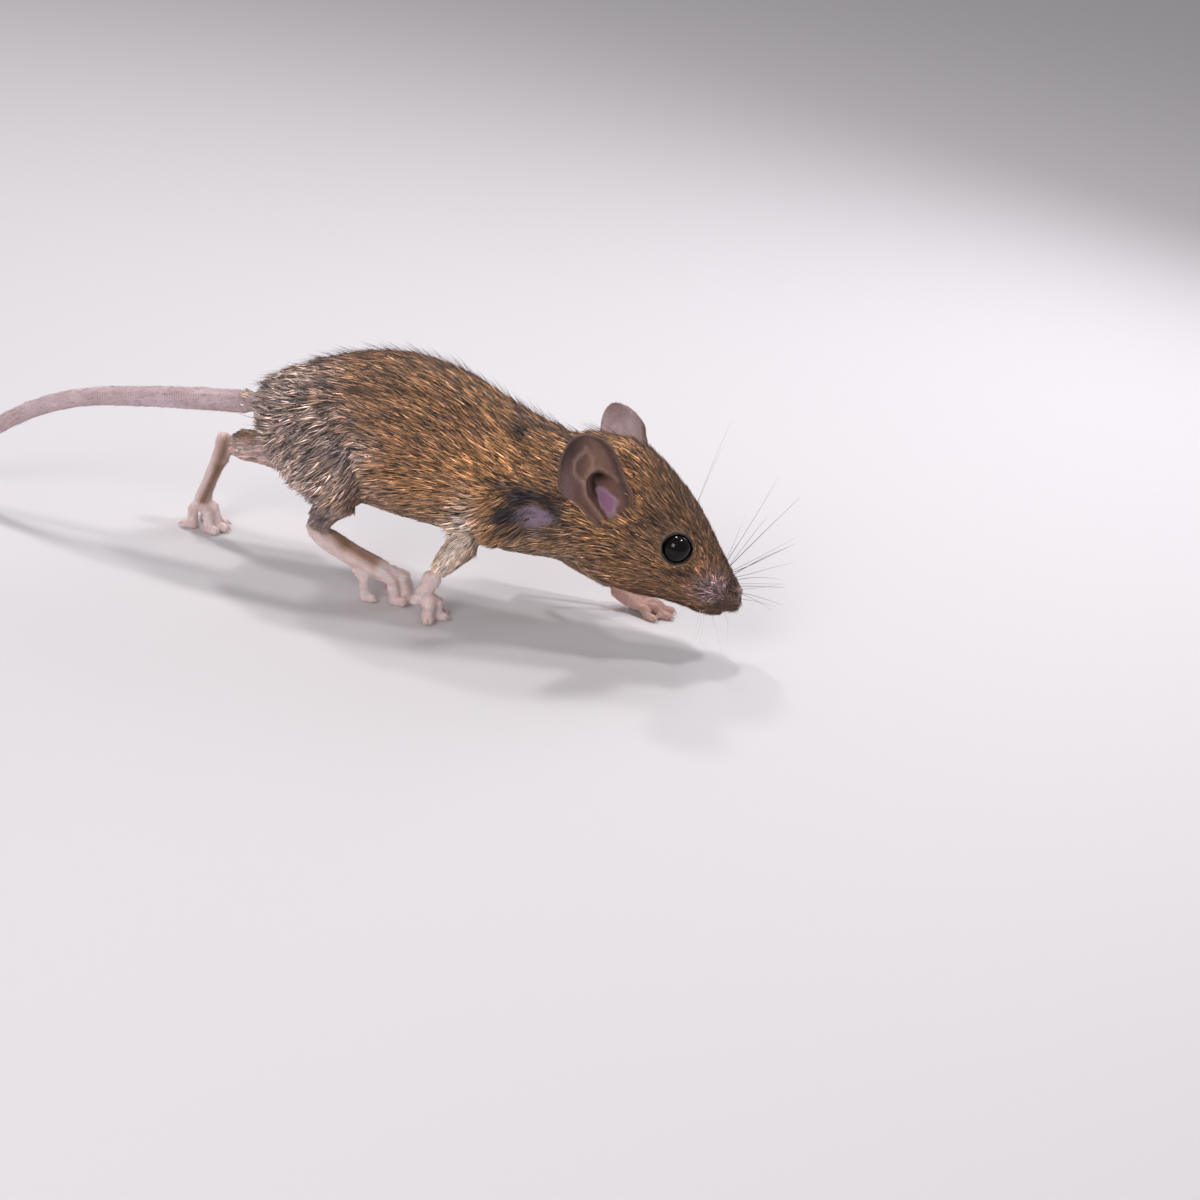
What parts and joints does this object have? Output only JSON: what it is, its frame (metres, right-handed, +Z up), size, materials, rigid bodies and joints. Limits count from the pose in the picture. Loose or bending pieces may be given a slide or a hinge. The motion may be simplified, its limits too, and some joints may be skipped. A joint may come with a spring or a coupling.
{
  "type": "mouse",
  "caption": "Life-size brown house mouse walking on four feet, head low, ears up, long bare tail trailing behind it down to the floor.",
  "frame": {"origin": "on the floor under the middle of the whole animal's box, tail included", "axes": "+X forward to the nose, +Y to the mouse's left, +Z up"},
  "size_m": [0.1694, 0.0304, 0.042],
  "materials": {
    "coat": "short agouti fur, ochre brown with black tips",
    "foot_skin": "soft bare skin, pale pink",
    "tail_skin": "fine scale rings, sparse hairs",
    "ear_skin": "thin satin skin",
    "eye": "wet gloss, nearly black"
  },
  "bodies": {
    "root": {"head": "coat", "neck": "coat", "trunk": "coat", "tail_base": "tail_skin", "tail_middle": "tail_skin", "tail_tip": "tail_skin", "hind_leg_right_thigh": "coat", "hind_leg_right_shank": "coat", "hind_leg_right_foot": "foot_skin", "hind_leg_left_thigh": "coat", "hind_leg_left_shank": "coat", "hind_leg_left_foot": "foot_skin", "foreleg_right_upper_arm": "coat", "foreleg_right_forearm": "coat", "foreleg_right_paw": "foot_skin", "foreleg_left_upper_arm": "coat", "foreleg_left_forearm": "coat", "foreleg_left_paw": "foot_skin", "ear_right": "ear_skin", "ear_left": "ear_skin", "eye_right": "eye", "eye_left": "eye"}
  },
  "joints": []
}
